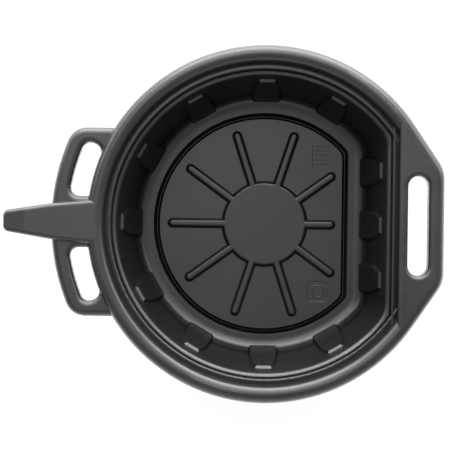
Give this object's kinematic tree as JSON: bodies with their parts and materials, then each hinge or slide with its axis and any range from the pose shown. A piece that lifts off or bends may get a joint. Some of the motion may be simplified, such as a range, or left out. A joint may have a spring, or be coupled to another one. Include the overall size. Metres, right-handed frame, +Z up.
{
  "type": "oil drain pan",
  "caption": "Round open plastic drain pan with one flat side, stepped rolled rim, ribbed raised floor, long grip, two-hole handle and a covered tapering spout",
  "frame": {"origin": "on the axis of the round bowl, in the plane of the ring that the pan stands on", "axes": "+X to the flat side and its long grip, -X along the spout, +Y to the left when looking from the spout to the flat side, +Z up"},
  "size_m": [0.4434, 0.3602, 0.128],
  "materials": {
    "black_plastic": "satin black with a fine moulded grain"
  },
  "bodies": {
    "root": {"pan_tub": "black_plastic", "rim_frame": "black_plastic", "spout_trough": "black_plastic"}
  },
  "joints": []
}
